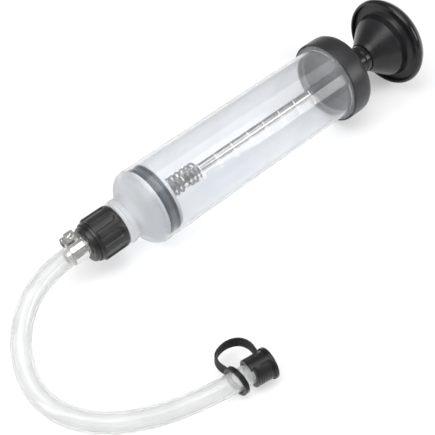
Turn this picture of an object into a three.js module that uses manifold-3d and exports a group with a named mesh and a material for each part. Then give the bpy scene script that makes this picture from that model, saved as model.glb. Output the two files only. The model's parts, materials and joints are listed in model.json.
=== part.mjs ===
// Hand vacuum pump: a clear syringe barrel with a sliding plunger, a screwed-on
// barbed nozzle, and a clear suction hose that ends in a tethered dust cap.
// Millimetres, +Z up. The pump lies on the plane z = 0: the front of the barrel
// and the rim of the knob touch it, so the pump's axis climbs gently towards +X.

import * as THREE from 'three';
import { mergeVertices } from 'three/addons/utils/BufferGeometryUtils.js';
import Module from 'manifold-3d';

const wasm = await Module();
wasm.setup();

// ---------------------------------------------------------------- dimensions
// Stations are distances along the pump's axis from the inner face of the
// barrel's front wall. They grow towards the knob.
const GAP = 0.3;
const ROUND = 36;
const SMALL_ROUND = 24;

const BARREL_R = 32.5;
const BORE_R = 30.3;
const BARREL_END = 215;
const LIP_R = 35.1;
const LIP_LENGTH = 5.3;
const SHOULDER_START = 3;
const NECK_R = 16.4;
const NECK_FRONT = -38;
const NECK_BORE_R = 8.5;
const COLLAR_REAR = -14;
const COLLAR_FRONT = -20.7;

const CAP_R = 37.2;
const CAP_FRONT = 211;
const CAP_REAR = 232.5;
const CAP_EDGE_RADIUS = 6;
const CAP_WALL = 4;
const CAP_SEAT = 217.1;
const CAP_BORE_R = LIP_R + 0.5;
const CAP_SHELF_R = 29.5;
const CAP_COUNTERBORE_R = 11.6;
const COUNTERBORE_DEPTH = 0.6;
const BUSHING_R = 7.5;
const BUSHING_FLANGE_R = 11;
const BUSHING_INNER_END = 222;
const BUSHING_OUTER_END = 235;
const BUSHING_CHAMFER = 0.8;
const ROD_SEAL_R = 6.3;
const ROD_SEAL_LENGTH = 4;

const ROD_R = 4;
const ROD_FRONT = 7;
const ROD_REAR = 286;
const PISTON_R = 29;
const PISTON_HUB_R = 22;
const PISTON_FRONT = 7.1;
const PISTON_PLATE = 2.2;
const SEAL_R = 30;
const SEAL_LENGTH = 2.4;
const SPACER_LENGTH = 3.9;
const BACK_PLATE = 2.8;
const LOCK_NUT_FLATS = 13;
const LOCK_NUT_LENGTH = 5;
const PISTON_SCREW_R = 3;
const PISTON_SCREW_HEAD_R = 5.8;
const PISTON_SCREW_HEAD_FRONT = 1.6;
const PISTON_SCREW_HEAD_LENGTH = 3.4;
const PISTON_SCREW_DEPTH = 13;
const PISTON_WASHER_R = 10;
const PISTON_WASHER_LENGTH = 1.5;
const SPRING_SEAT_LENGTH = 1.5;
const SPRING_R = 7.7;
const SPRING_WIRE_R = 1.05;
const SPRING_LENGTH = 30;
const SPRING_TURNS = 6.5;

const KNOB_R = 41;
const KNOB_RIM_STATION = 289.6;
const KNOB_FRONT = 258.5;
const KNOB_WEB = 277;
const KNOB_NUT_LENGTH = 6;
const KNOB_SPLIT_R = 38;
const CONE_FRONT_R = 13.3;
const CONE_EDGE_STATION = 279.7;
const CONE_EDGE_R = 28;
const RECESS_FLOOR = 289.6;
const FERRULE_FRONT = 238;
const FERRULE_R = 12.4;

const UNION_R = 18.5;
const UNION_REAR = -21;
const UNION_FRONT = -47.3;
const UNION_BORE_R = NECK_R + 0.4;
const UNION_LIP = 2.5;
const FLUTES = 8;
const FLUTE_WIDTH = 8.6;
const FLUTE_DEPTH = 1.1;
const FLUTE_TURN = THREE.MathUtils.degToRad(10);
const NOZZLE_BOSS_R = 15.2;
const NOZZLE_FLANGE_R = NECK_R - 0.2;
const NOZZLE_FACE = -51.5;
const NOZZLE_COUNTERBORE_R = 8.6;
const NOZZLE_GASKET_LENGTH = 1.5;
const NOZZLE_BORE_R = 4.4;
const BARB_R = 5.85;
const BARB_ROOT_R = 5.3;
const BARB_END = -70;
const BARB_REAR = -41.2;
const BARB_COUNT = 3;
const BARB_BORE_R = 4;

const HOSE_R = 8;
const HOSE_BORE_R = 6.2;
const HOSE_STEP = 20;
const CLAMP_REAR = -54;
const CLAMP_WIDTH = 12;
const CLAMP_STEEL = 0.8;
const CLAMP_EAR_HEIGHT = 15.8;
const CLAMP_EAR_GAP = 6;
const CLAMP_EAR_STEEL = 1.2;
const CLAMP_SCREW_HEIGHT = 12.6;
const CLAMP_LEAN = THREE.MathUtils.degToRad(-55);
const SCREW_R = 2.2;
const SCREW_HEAD_R = 4.2;
const SCREW_HEAD_LENGTH = 3;
const SCREW_LENGTH = 17;
const SCREW_SLOT_DEPTH = 1.3;
const SCREW_SLOT_WIDTH = 1.2;
const CLAMP_NUT_SIDE = 8;
const CLAMP_NUT_LENGTH = 3.8;

// The hose's tip. Its stations run along the straight end of the hose from
// TIP_ORIGIN towards the dust cap, and the ring sits askew on the hose.
const TIP_ORIGIN = new THREE.Vector3(-155.2, -158.4, 12.7);
const TIP_HEADING = THREE.MathUtils.degToRad(-9);
const RING_STATION = -2.7;
const RING_SKEW = THREE.MathUtils.degToRad(10);
const RING_R = 11.6;
const RING_BORE_R = 9;
const RING_LENGTH = 3.8;
const DUST_CAP_R = 11.2;
const DUST_CAP_BORE_R = HOSE_R + 0.4;
const DUST_CAP_MOUTH = 7;
const DUST_CAP_LOW_MOUTH = 8.6;
const DUST_CAP_FLOOR = 22.4;
const DUST_CAP_FLANGE = 23.2;
const DUST_CAP_END = 26;
const DUST_CAP_FLANGE_R = 12.4;
const HOSE_END = DUST_CAP_FLOOR - GAP;
const GRIP_SLOT_WIDTH = 3.5;
const GRIP_SLOT_DEPTH = 1.3;
const GRIP_SLOT_LEAN = THREE.MathUtils.degToRad(25);
const STRAP_WIDTH = 10.5;
const STRAP_THICKNESS = 1.8;

// The pump rests on the barrel's front edge and on the knob's rim.
const KNOB_BACK = 307.2;
const KNOB_CONTACT = KNOB_RIM_STATION - 1;
const TILT = Math.atan((KNOB_R - BARREL_R) / (KNOB_CONTACT - SHOULDER_START));
const AXIS_HEIGHT = BARREL_R * Math.cos(TILT) - SHOULDER_START * Math.sin(TILT);
const PUMP_MIDDLE = (BARB_END + KNOB_BACK) / 2 * Math.cos(TILT);

// The free hose's centreline between the clamp and the tip, on the ground frame.
const HOSE_ROUTE = [
  [-208, -2.5, 29.3],
  [-228, -9.5, 26.2],
  [-245, -21, 20.9],
  [-258, -36.5, 14.9],
  [-266, -54.5, 10.4],
  [-268.5, -74, 8.5],
  [-265, -93, 8.2],
  [-255.5, -110, 8.2],
  [-241, -124.5, 8.2],
  [-223, -136, 8.2],
  [-203, -144.8, 8.4],
  [-183.5, -151.4, 9.8],
];

// ------------------------------------------------------------------ materials
function plastic(color, roughness) {
  return new THREE.MeshStandardMaterial({ color, roughness, metalness: 0 });
}

function metal(color, roughness) {
  return new THREE.MeshStandardMaterial({ color, roughness, metalness: 1 });
}

function clear(color, opacity) {
  return new THREE.MeshStandardMaterial({ color, roughness: 0.25, transparent: true, opacity });
}

const frostedClear = () => clear(0xdfe4e8, 0.4);
const clearVinyl = () => clear(0xe8ebec, 0.45);
const satinBlack = () => plastic(0x2a2b2d, 0.45);
const glossBlack = () => plastic(0x191a1c, 0.25);
const paleNylon = () => plastic(0xc9ced2, 0.5);
const blackRubber = () => plastic(0x33383d, 0.75);
const steel = () => metal(0xb9bbbd, 0.3);

// -------------------------------------------------------------------- helpers
const group = new THREE.Group();
const pump = new THREE.Group();
pump.position.set(-PUMP_MIDDLE, 0, AXIS_HEIGHT);
pump.rotation.y = -TILT;
const plunger = new THREE.Group();
const clamp = new THREE.Group();
clamp.rotation.x = CLAMP_LEAN;
const tip = new THREE.Group();
tip.position.copy(TIP_ORIGIN);
tip.rotation.z = TIP_HEADING;
const ringSeat = new THREE.Group();
ringSeat.position.x = RING_STATION;
ringSeat.rotation.z = RING_SKEW;
tip.add(ringSeat);
pump.add(plunger, clamp);
group.add(pump, tip);

function addPart(parent, name, geometry, material) {
  const mesh = new THREE.Mesh(geometry, material);
  mesh.name = name;
  parent.add(mesh);
  return mesh;
}

// Twice the signed area of a closed outline.
function turnSense(outline) {
  return outline.reduce((sum, [x, r], i) => {
    const [nextX, nextR] = outline[(i + 1) % outline.length];
    return sum + x * nextR - nextX * r;
  }, 0);
}

// A body of revolution about the X axis. The outline is [station, radius] pairs;
// it closes on itself, or runs from the axis back to the axis.
function turned(outline, segments = ROUND) {
  const loop = turnSense(outline) > 0 ? [...outline].reverse() : [...outline];
  const onAxis = loop.filter(([, r]) => r === 0).length;
  if (onAxis === 0) {
    loop.push(loop[0]);
  }
  while (onAxis > 0 && (loop[0][1] !== 0 || loop[loop.length - 1][1] !== 0)) {
    loop.push(loop.shift());
  }
  const points = loop.map(([x, r]) => new THREE.Vector2(r, x));
  const geometry = new THREE.LatheGeometry(points, segments);
  geometry.rotateZ(-Math.PI / 2);
  return geometry;
}

// A plain ring or tube about the X axis.
function sleeve(from, to, innerR, outerR, segments = ROUND) {
  return turned([[from, innerR], [from, outerR], [to, outerR], [to, innerR]], segments);
}

// Points on a round corner of an outline, both ends included.
function corner(centreX, centreR, radius, fromDegrees, toDegrees, steps = 5) {
  return Array.from({ length: steps + 1 }, (_, i) => {
    const angle = THREE.MathUtils.degToRad(fromDegrees + (toDegrees - fromDegrees) * i / steps);
    return [centreX + radius * Math.cos(angle), centreR + radius * Math.sin(angle)];
  });
}

function toSolid(geometry) {
  const plain = geometry.clone();
  plain.deleteAttribute('normal');
  plain.deleteAttribute('uv');
  const merged = mergeVertices(plain, 1e-4);
  const vertProperties = Float32Array.from(merged.attributes.position.array);
  const corners = merged.index.array;
  const triVerts = [];
  for (let i = 0; i < corners.length; i += 3) {
    const [a, b, c] = [corners[i], corners[i + 1], corners[i + 2]];
    if (a !== b && b !== c && c !== a) {
      triVerts.push(a, b, c);
    }
  }
  const mesh = new wasm.Mesh({ numProp: 3, vertProperties, triVerts: Uint32Array.from(triVerts) });
  return new wasm.Manifold(mesh);
}

function toGeometry(solid) {
  const mesh = solid.getMesh();
  const geometry = new THREE.BufferGeometry();
  geometry.setAttribute('position', new THREE.BufferAttribute(Float32Array.from(mesh.vertProperties), 3));
  geometry.setIndex(new THREE.BufferAttribute(Uint32Array.from(mesh.triVerts), 1));
  return geometry;
}

function cut(geometry, cutters) {
  const solid = cutters.reduce((body, cutter) => body.subtract(toSolid(cutter)), toSolid(geometry));
  return toGeometry(solid);
}

// A hexagonal nut about the X axis.
function hexNut(from, length, flats, boreR) {
  const outline = new THREE.Shape();
  const cornerR = flats / Math.sqrt(3);
  for (let i = 0; i < 6; i += 1) {
    const angle = i * Math.PI / 3;
    const x = cornerR * Math.cos(angle);
    const y = cornerR * Math.sin(angle);
    if (i === 0) {
      outline.moveTo(x, y);
    } else {
      outline.lineTo(x, y);
    }
  }
  outline.closePath();
  const bore = new THREE.Path();
  bore.absarc(0, 0, boreR, 0, 2 * Math.PI, true);
  outline.holes.push(bore);
  const settings = { depth: length, bevelEnabled: false, curveSegments: 8 };
  const geometry = new THREE.ExtrudeGeometry(outline, settings);
  geometry.rotateY(Math.PI / 2);
  geometry.translate(from, 0, 0);
  return geometry;
}

// --------------------------------------------------------------------- barrel
function barrelGeometry() {
  return turned([
    [NECK_FRONT, NECK_BORE_R],
    [NECK_FRONT, NECK_R - 1],
    [NECK_FRONT + 1, NECK_R],
    [COLLAR_FRONT - 0.8, NECK_R],
    [COLLAR_FRONT - 0.8, NECK_R - 1.2],
    [COLLAR_FRONT, NECK_R - 1.2],
    [COLLAR_FRONT, NECK_R + 1.6],
    [COLLAR_FRONT + 3, NECK_R + 1.6],
    [COLLAR_FRONT + 3, NECK_R + 2.5],
    [COLLAR_REAR, NECK_R + 2.5],
    [COLLAR_REAR + 1, NECK_R + 1.4],
    [COLLAR_REAR + 4, NECK_R + 2.2],
    ...corner(SHOULDER_START, BARREL_R - 7, 7, 150, 90),
    [BARREL_END - LIP_LENGTH, BARREL_R],
    [BARREL_END - LIP_LENGTH, LIP_R],
    [BARREL_END, LIP_R],
    [BARREL_END, BORE_R],
    ...corner(SHOULDER_START, BORE_R - 5, 5, 90, 150),
    [COLLAR_REAR + 5.5, NECK_R],
    [COLLAR_REAR + 1, NECK_BORE_R],
  ]);
}

function endCapGeometry() {
  const edge = corner(CAP_REAR - CAP_EDGE_RADIUS, CAP_R - CAP_EDGE_RADIUS, CAP_EDGE_RADIUS, 90, 0);
  return turned([
    [CAP_FRONT, CAP_BORE_R],
    [CAP_FRONT, CAP_R - 0.6],
    [CAP_FRONT + 0.6, CAP_R],
    ...edge,
    [CAP_REAR, CAP_COUNTERBORE_R],
    [CAP_REAR - COUNTERBORE_DEPTH, CAP_COUNTERBORE_R],
    [CAP_REAR - COUNTERBORE_DEPTH, BUSHING_R + GAP],
    [CAP_REAR - CAP_WALL, BUSHING_R + GAP],
    [CAP_REAR - CAP_WALL, CAP_SHELF_R],
    [CAP_SEAT, CAP_SHELF_R],
    [CAP_SEAT, CAP_BORE_R],
  ]);
}

function bushingGeometry() {
  const sealPocket = BUSHING_INNER_END + ROD_SEAL_LENGTH + 2 * GAP;
  return turned([
    [BUSHING_INNER_END, ROD_SEAL_R + GAP],
    [BUSHING_INNER_END, BUSHING_R],
    [CAP_REAR + GAP, BUSHING_R],
    [CAP_REAR + GAP, BUSHING_FLANGE_R],
    [BUSHING_OUTER_END - BUSHING_CHAMFER, BUSHING_FLANGE_R],
    [BUSHING_OUTER_END, BUSHING_FLANGE_R - BUSHING_CHAMFER],
    [BUSHING_OUTER_END, ROD_R + GAP],
    [sealPocket, ROD_R + GAP],
    [sealPocket, ROD_SEAL_R + GAP],
  ], SMALL_ROUND);
}

function rodSealGeometry() {
  const from = BUSHING_INNER_END + GAP;
  const to = from + ROD_SEAL_LENGTH;
  const middle = (from + to) / 2;
  return turned([
    [from, ROD_R + GAP],
    [from, ROD_SEAL_R],
    [to, ROD_SEAL_R],
    [to, ROD_R + GAP],
    [middle, ROD_R + GAP + 0.4],
  ], SMALL_ROUND);
}

// -------------------------------------------------------- nozzle and union nut
function unionNutGeometry() {
  const body = turned([
    [UNION_REAR, UNION_BORE_R],
    [UNION_REAR, UNION_R - 1],
    [UNION_REAR - 1.8, UNION_R],
    [UNION_FRONT + 3.8, UNION_R],
    [UNION_FRONT + 3, UNION_R - 1.4],
    [UNION_FRONT + 0.6, UNION_R - 1.6],
    [UNION_FRONT, UNION_R - 2.2],
    [UNION_FRONT, NOZZLE_BOSS_R + 0.4],
    [UNION_FRONT + UNION_LIP, NOZZLE_BOSS_R + 0.4],
    [UNION_FRONT + UNION_LIP, UNION_BORE_R],
  ]);
  const flute = new THREE.Shape();
  const half = FLUTE_WIDTH / 2;
  const rearEnd = UNION_REAR - 3.5 - half;
  flute.moveTo(UNION_FRONT - 1, -half);
  flute.lineTo(rearEnd, -half);
  flute.absarc(rearEnd, 0, half, -Math.PI / 2, Math.PI / 2, false);
  flute.lineTo(UNION_FRONT - 1, half);
  flute.closePath();
  const cutters = Array.from({ length: FLUTES }, (_, i) => {
    const cutter = new THREE.ExtrudeGeometry(flute, { depth: 4, bevelEnabled: false, curveSegments: 6 });
    cutter.translate(0, 0, UNION_R - FLUTE_DEPTH);
    cutter.rotateX(FLUTE_TURN + i * 2 * Math.PI / FLUTES);
    return cutter;
  });
  return cut(body, cutters);
}

// The nozzle's flange: held on the neck by the nut, bored for the barb tube and
// counterbored for the end of the hose.
function nozzleFlangeGeometry() {
  const flangeRear = NECK_FRONT - 2.1;
  const flangeFront = UNION_FRONT + UNION_LIP + GAP;
  const socketR = BARB_ROOT_R + GAP;
  return turned([
    [flangeRear, NOZZLE_BORE_R],
    [flangeRear, NOZZLE_FLANGE_R],
    [flangeFront, NOZZLE_FLANGE_R],
    [flangeFront, NOZZLE_BOSS_R],
    [NOZZLE_FACE + 0.8, NOZZLE_BOSS_R],
    [NOZZLE_FACE, NOZZLE_BOSS_R - 0.8],
    [NOZZLE_FACE, NOZZLE_COUNTERBORE_R],
    [NOZZLE_FACE + COUNTERBORE_DEPTH, NOZZLE_COUNTERBORE_R],
    [NOZZLE_FACE + COUNTERBORE_DEPTH, socketR],
    [BARB_REAR + GAP, socketR],
    [BARB_REAR + GAP, NOZZLE_BORE_R],
  ]);
}

function barbTubeGeometry() {
  const pitch = (NOZZLE_FACE - BARB_END) / BARB_COUNT;
  const barbs = Array.from({ length: BARB_COUNT }, (_, i) => {
    const crest = NOZZLE_FACE - pitch * (i + 0.25);
    return [[crest, BARB_ROOT_R], [crest, BARB_R], [crest - pitch * 0.7, BARB_ROOT_R]];
  }).flat();
  return turned([
    [BARB_REAR, BARB_BORE_R],
    [BARB_REAR, BARB_ROOT_R],
    ...barbs,
    [BARB_END, BARB_ROOT_R - 0.5],
    [BARB_END, BARB_BORE_R],
  ], SMALL_ROUND);
}

// ----------------------------------------------------------------- hose clamp
function clampBandGeometry() {
  const innerR = HOSE_R + GAP;
  const outerR = innerR + CLAMP_STEEL;
  const earInner = CLAMP_EAR_GAP / 2;
  const earOuter = earInner + CLAMP_EAR_STEEL;
  const outerAngle = Math.acos(earOuter / outerR);
  const innerAngle = Math.acos(earInner / innerR);
  const band = new THREE.Shape();
  band.moveTo(-earInner, CLAMP_EAR_HEIGHT);
  band.lineTo(-earOuter, CLAMP_EAR_HEIGHT);
  band.lineTo(-earOuter, outerR * Math.sin(outerAngle));
  band.absarc(0, 0, outerR, Math.PI - outerAngle, 2 * Math.PI + outerAngle, false);
  band.lineTo(earOuter, CLAMP_EAR_HEIGHT);
  band.lineTo(earInner, CLAMP_EAR_HEIGHT);
  band.lineTo(earInner, innerR * Math.sin(innerAngle));
  band.absarc(0, 0, innerR, innerAngle, Math.PI - innerAngle, true);
  band.closePath();
  const settings = { depth: CLAMP_WIDTH, bevelEnabled: false, curveSegments: 14 };
  const body = new THREE.ExtrudeGeometry(band, settings);
  body.applyMatrix4(new THREE.Matrix4().makeBasis(
    new THREE.Vector3(0, 1, 0),
    new THREE.Vector3(0, 0, 1),
    new THREE.Vector3(1, 0, 0),
  ));
  body.translate(CLAMP_REAR - CLAMP_WIDTH, 0, 0);
  const hole = new THREE.CylinderGeometry(SCREW_R + GAP, SCREW_R + GAP, 4 * earOuter, SMALL_ROUND);
  hole.translate(CLAMP_REAR - CLAMP_WIDTH / 2, 0, CLAMP_SCREW_HEIGHT);
  return cut(body, [hole]);
}

// The screw lies across the ears, with its head on the +Y side of the clamp.
function clampScrewGeometry() {
  const earFace = CLAMP_EAR_GAP / 2 + CLAMP_EAR_STEEL + GAP;
  const headTop = earFace + SCREW_HEAD_LENGTH;
  const screw = turned([
    [headTop, 0],
    [headTop, SCREW_HEAD_R - 1],
    [headTop - 1, SCREW_HEAD_R],
    [earFace, SCREW_HEAD_R],
    [earFace, SCREW_R],
    [earFace - SCREW_LENGTH + 0.6, SCREW_R],
    [earFace - SCREW_LENGTH, SCREW_R - 0.6],
    [earFace - SCREW_LENGTH, 0],
  ], SMALL_ROUND);
  const slot = new THREE.BoxGeometry(2 * SCREW_SLOT_DEPTH, SCREW_SLOT_WIDTH, 3 * SCREW_HEAD_R);
  slot.translate(headTop, 0, 0);
  const slotted = cut(screw, [slot]);
  slotted.rotateZ(Math.PI / 2);
  slotted.translate(CLAMP_REAR - CLAMP_WIDTH / 2, 0, CLAMP_SCREW_HEIGHT);
  return slotted;
}

function clampNutGeometry() {
  const nutFace = -(CLAMP_EAR_GAP / 2 + CLAMP_EAR_STEEL + GAP);
  const block = new THREE.BoxGeometry(CLAMP_NUT_SIDE, CLAMP_NUT_LENGTH, CLAMP_NUT_SIDE);
  const bore = new THREE.CylinderGeometry(SCREW_R + GAP, SCREW_R + GAP, 2 * CLAMP_NUT_LENGTH, SMALL_ROUND);
  const nut = cut(block, [bore]);
  nut.translate(CLAMP_REAR - CLAMP_WIDTH / 2, nutFace - CLAMP_NUT_LENGTH / 2, CLAMP_SCREW_HEIGHT);
  return nut;
}

// ----------------------------------------------------------- hose and its tip
function pumpAxisPoint(station) {
  return new THREE.Vector3(
    station * Math.cos(TILT) - PUMP_MIDDLE,
    0,
    station * Math.sin(TILT) + AXIS_HEIGHT,
  );
}

function tipPoint(station) {
  const along = new THREE.Vector3(Math.cos(TIP_HEADING), Math.sin(TIP_HEADING), 0);
  return TIP_ORIGIN.clone().addScaledVector(along, station);
}

function hoseGeometry() {
  const hoseStart = NOZZLE_FACE - GAP;
  const route = new THREE.CatmullRomCurve3([
    pumpAxisPoint(hoseStart),
    pumpAxisPoint(hoseStart - 10),
    pumpAxisPoint(hoseStart - 20),
    ...HOSE_ROUTE.map(([x, y, z]) => new THREE.Vector3(x, y, z)),
    tipPoint(-12),
    tipPoint(0),
    tipPoint(HOSE_END),
  ]);
  const section = new THREE.Shape();
  section.absarc(0, 0, HOSE_R, 0, 2 * Math.PI, false);
  const bore = new THREE.Path();
  bore.absarc(0, 0, HOSE_BORE_R, 0, 2 * Math.PI, true);
  section.holes.push(bore);
  return new THREE.ExtrudeGeometry(section, {
    extrudePath: route,
    steps: Math.round(route.getLength() / HOSE_STEP),
    curveSegments: 6,
  });
}

function tetherRingGeometry() {
  const half = RING_LENGTH / 2;
  const grooveDepth = 0.7;
  return turned([
    [-half, RING_BORE_R],
    [-half, RING_R],
    [-half + 1.2, RING_R],
    [-half + 1.6, RING_R - grooveDepth],
    [-half + 2, RING_R],
    [half - 2, RING_R],
    [half - 1.6, RING_R - grooveDepth],
    [half - 1.2, RING_R],
    [half, RING_R],
    [half, RING_BORE_R],
  ], SMALL_ROUND);
}

// The strap stands on edge and loops from the ring's side to the dust cap's.
function tetherStrapGeometry() {
  const middle = new THREE.CatmullRomCurve3([
    [RING_STATION - RING_R * Math.sin(RING_SKEW), RING_R * Math.cos(RING_SKEW) + 2 * GAP],
    [-6.6, 18],
    [-4.8, 24.6],
    [2.4, 28.8],
    [11, 29.2],
    [18, 26],
    [21.6, 19.8],
    [21.8, DUST_CAP_R + GAP],
  ].map(([x, y]) => new THREE.Vector3(x, y, 0)));
  const samples = 24;
  const edge = (side) => Array.from({ length: samples + 1 }, (_, i) => {
    const point = middle.getPoint(i / samples);
    const heading = middle.getTangent(i / samples);
    const reach = side * STRAP_THICKNESS / 2;
    return new THREE.Vector2(point.x - heading.y * reach, point.y + heading.x * reach);
  });
  const outline = new THREE.Shape([...edge(1), ...edge(-1).reverse()]);
  const strap = new THREE.ExtrudeGeometry(outline, { depth: STRAP_WIDTH, bevelEnabled: false });
  strap.translate(0, 0, -STRAP_WIDTH / 2);
  return strap;
}

// A cutter for a shallow slot along the dust cap's wall.
function gripSlot(from, to) {
  const slot = new THREE.BoxGeometry(to - from, GRIP_SLOT_WIDTH, 2 * GRIP_SLOT_DEPTH);
  slot.translate((from + to) / 2, 0, DUST_CAP_R);
  slot.rotateX(GRIP_SLOT_LEAN);
  return slot;
}

// The cap's mouth reaches further over the hose on the strap's side of the slots.
function dustCapGeometry() {
  const body = turned([
    [DUST_CAP_MOUTH, DUST_CAP_BORE_R],
    [DUST_CAP_MOUTH, DUST_CAP_R - 0.5],
    [DUST_CAP_MOUTH + 0.5, DUST_CAP_R],
    [DUST_CAP_FLANGE, DUST_CAP_R],
    [DUST_CAP_FLANGE, DUST_CAP_FLANGE_R],
    [DUST_CAP_END - 0.6, DUST_CAP_FLANGE_R],
    [DUST_CAP_END, DUST_CAP_FLANGE_R - 0.6],
    [DUST_CAP_END, 0],
    [DUST_CAP_FLOOR, 0],
    [DUST_CAP_FLOOR, DUST_CAP_BORE_R],
  ], SMALL_ROUND);
  const mouthSlot = gripSlot(DUST_CAP_MOUTH - 1, DUST_CAP_MOUTH + 4);
  const flangeSlot = gripSlot(DUST_CAP_FLANGE - 8.5, DUST_CAP_FLANGE - 0.5);
  const stepLength = 2 * (DUST_CAP_LOW_MOUTH - DUST_CAP_MOUTH);
  const lowMouth = new THREE.BoxGeometry(stepLength, 3 * DUST_CAP_R, 3 * DUST_CAP_R);
  lowMouth.translate(DUST_CAP_MOUTH, -1.5 * DUST_CAP_R, 0);
  lowMouth.rotateX(GRIP_SLOT_LEAN);
  return cut(body, [mouthSlot, flangeSlot, lowMouth]);
}

// -------------------------------------------------------------------- plunger
const frontSealStart = PISTON_FRONT + PISTON_PLATE + GAP;
const spacerStart = frontSealStart + SEAL_LENGTH + GAP;
const rearSealStart = spacerStart + SPACER_LENGTH + GAP;
const backPlateStart = rearSealStart + SEAL_LENGTH + GAP;
const lockNutStart = backPlateStart + BACK_PLATE + GAP;
const springSeatStart = lockNutStart + LOCK_NUT_LENGTH + GAP;
const springStart = springSeatStart + SPRING_SEAT_LENGTH + GAP + SPRING_WIRE_R;
const pistonScrewBoreR = PISTON_SCREW_R + GAP;

function pistonHeadGeometry() {
  return turned([
    [PISTON_FRONT, ROD_R + GAP],
    [PISTON_FRONT, PISTON_R - 1],
    [PISTON_FRONT + 1, PISTON_R],
    [PISTON_FRONT + PISTON_PLATE, PISTON_R],
    [PISTON_FRONT + PISTON_PLATE, PISTON_HUB_R],
    [backPlateStart - GAP, PISTON_HUB_R],
    [backPlateStart - GAP, ROD_R + GAP],
  ]);
}

// A piston ring: flat on both sides, with its rubbing edge chamfered.
function sealGeometry(from) {
  return turned([
    [from, PISTON_HUB_R + GAP],
    [from, SEAL_R - 0.9],
    [from + 0.7, SEAL_R],
    [from + SEAL_LENGTH - 0.7, SEAL_R],
    [from + SEAL_LENGTH, SEAL_R - 0.9],
    [from + SEAL_LENGTH, PISTON_HUB_R + GAP],
  ]);
}

function rodGeometry() {
  return turned([
    [ROD_FRONT, pistonScrewBoreR],
    [ROD_FRONT, ROD_R],
    [ROD_REAR - 1, ROD_R],
    [ROD_REAR, ROD_R - 1],
    [ROD_REAR, 0],
    [ROD_FRONT + PISTON_SCREW_DEPTH + 1, 0],
    [ROD_FRONT + PISTON_SCREW_DEPTH + 1, pistonScrewBoreR],
  ], SMALL_ROUND);
}

function pistonScrewGeometry() {
  const headFront = PISTON_SCREW_HEAD_FRONT;
  const headRear = headFront + PISTON_SCREW_HEAD_LENGTH;
  return turned([
    [headFront, 0],
    [headFront, PISTON_SCREW_HEAD_R - 1],
    [headFront + 1, PISTON_SCREW_HEAD_R],
    [headRear, PISTON_SCREW_HEAD_R],
    [headRear, PISTON_SCREW_R],
    [ROD_FRONT + PISTON_SCREW_DEPTH, PISTON_SCREW_R],
    [ROD_FRONT + PISTON_SCREW_DEPTH, 0],
  ], SMALL_ROUND);
}

class SpringCurve extends THREE.Curve {
  getPoint(t, target = new THREE.Vector3()) {
    const angle = 2 * Math.PI * SPRING_TURNS * t;
    return target.set(
      springStart + SPRING_LENGTH * t,
      SPRING_R * Math.cos(angle),
      SPRING_R * Math.sin(angle),
    );
  }
}

function springGeometry() {
  const stepsPerTurn = 10;
  const wire = new THREE.Shape();
  wire.absarc(0, 0, SPRING_WIRE_R, 0, 2 * Math.PI, false);
  return new THREE.ExtrudeGeometry(wire, {
    extrudePath: new SpringCurve(),
    steps: SPRING_TURNS * stepsPerTurn,
    curveSegments: 4,
  });
}

function ferruleGeometry() {
  const to = KNOB_FRONT - GAP;
  return turned([
    [FERRULE_FRONT, ROD_R + GAP],
    [FERRULE_FRONT, FERRULE_R - 2.2],
    [FERRULE_FRONT + 1.6, FERRULE_R],
    [to - 6, FERRULE_R],
    [to - 5, FERRULE_R - 0.8],
    [to - 4, FERRULE_R],
    [to - 0.6, FERRULE_R],
    [to, FERRULE_R - 0.6],
    [to, ROD_R + GAP],
  ], SMALL_ROUND);
}

// The cone under the palm knob and the deep recess around it.
function knobHubGeometry() {
  const plateBack = RECESS_FLOOR + 2.4;
  const plateR = KNOB_SPLIT_R - 0.4;
  return turned([
    [KNOB_FRONT, ROD_R + GAP],
    [KNOB_FRONT, CONE_FRONT_R],
    [KNOB_FRONT + 3, CONE_FRONT_R + 1.2],
    [CONE_EDGE_STATION - 0.8, CONE_EDGE_R - 0.5],
    [CONE_EDGE_STATION, CONE_EDGE_R],
    [CONE_EDGE_STATION + 0.8, CONE_EDGE_R - 0.4],
    [RECESS_FLOOR - 3, CONE_EDGE_R],
    [RECESS_FLOOR - 0.8, CONE_EDGE_R + 2],
    [RECESS_FLOOR, CONE_EDGE_R + 5],
    [RECESS_FLOOR, plateR],
    [plateBack, plateR],
    [plateBack, CONE_EDGE_R + 1],
    [RECESS_FLOOR - 2, CONE_EDGE_R - 2.5],
    [CONE_EDGE_STATION + 2, CONE_EDGE_R - 4],
    [KNOB_WEB + 1, CONE_FRONT_R + 5],
    [KNOB_WEB, CONE_FRONT_R + 3],
    [KNOB_WEB, ROD_R + GAP],
  ]);
}

function knobCoverGeometry() {
  const rimFront = KNOB_RIM_STATION - 3.2;
  return turned([
    [rimFront, KNOB_SPLIT_R],
    [rimFront, KNOB_R - 1.6],
    [rimFront + 0.8, KNOB_R - 0.6],
    [KNOB_RIM_STATION - 1, KNOB_R],
    [KNOB_RIM_STATION + 1, KNOB_R],
    [KNOB_RIM_STATION + 4, KNOB_R - 1],
    [KNOB_RIM_STATION + 8, KNOB_R - 4.2],
    [KNOB_RIM_STATION + 12, KNOB_R - 10.5],
    [KNOB_RIM_STATION + 15, KNOB_R - 19],
    [KNOB_BACK - 0.7, KNOB_R - 30],
    [KNOB_BACK, 0],
    [KNOB_BACK - 2.4, 0],
    [KNOB_BACK - 3.1, KNOB_R - 31],
    [KNOB_RIM_STATION + 12.4, KNOB_R - 20],
    [KNOB_RIM_STATION + 9, KNOB_R - 11.5],
    [KNOB_RIM_STATION + 5.6, KNOB_R - 5.4],
    [KNOB_RIM_STATION + 4.4, KNOB_SPLIT_R],
  ]);
}

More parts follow.
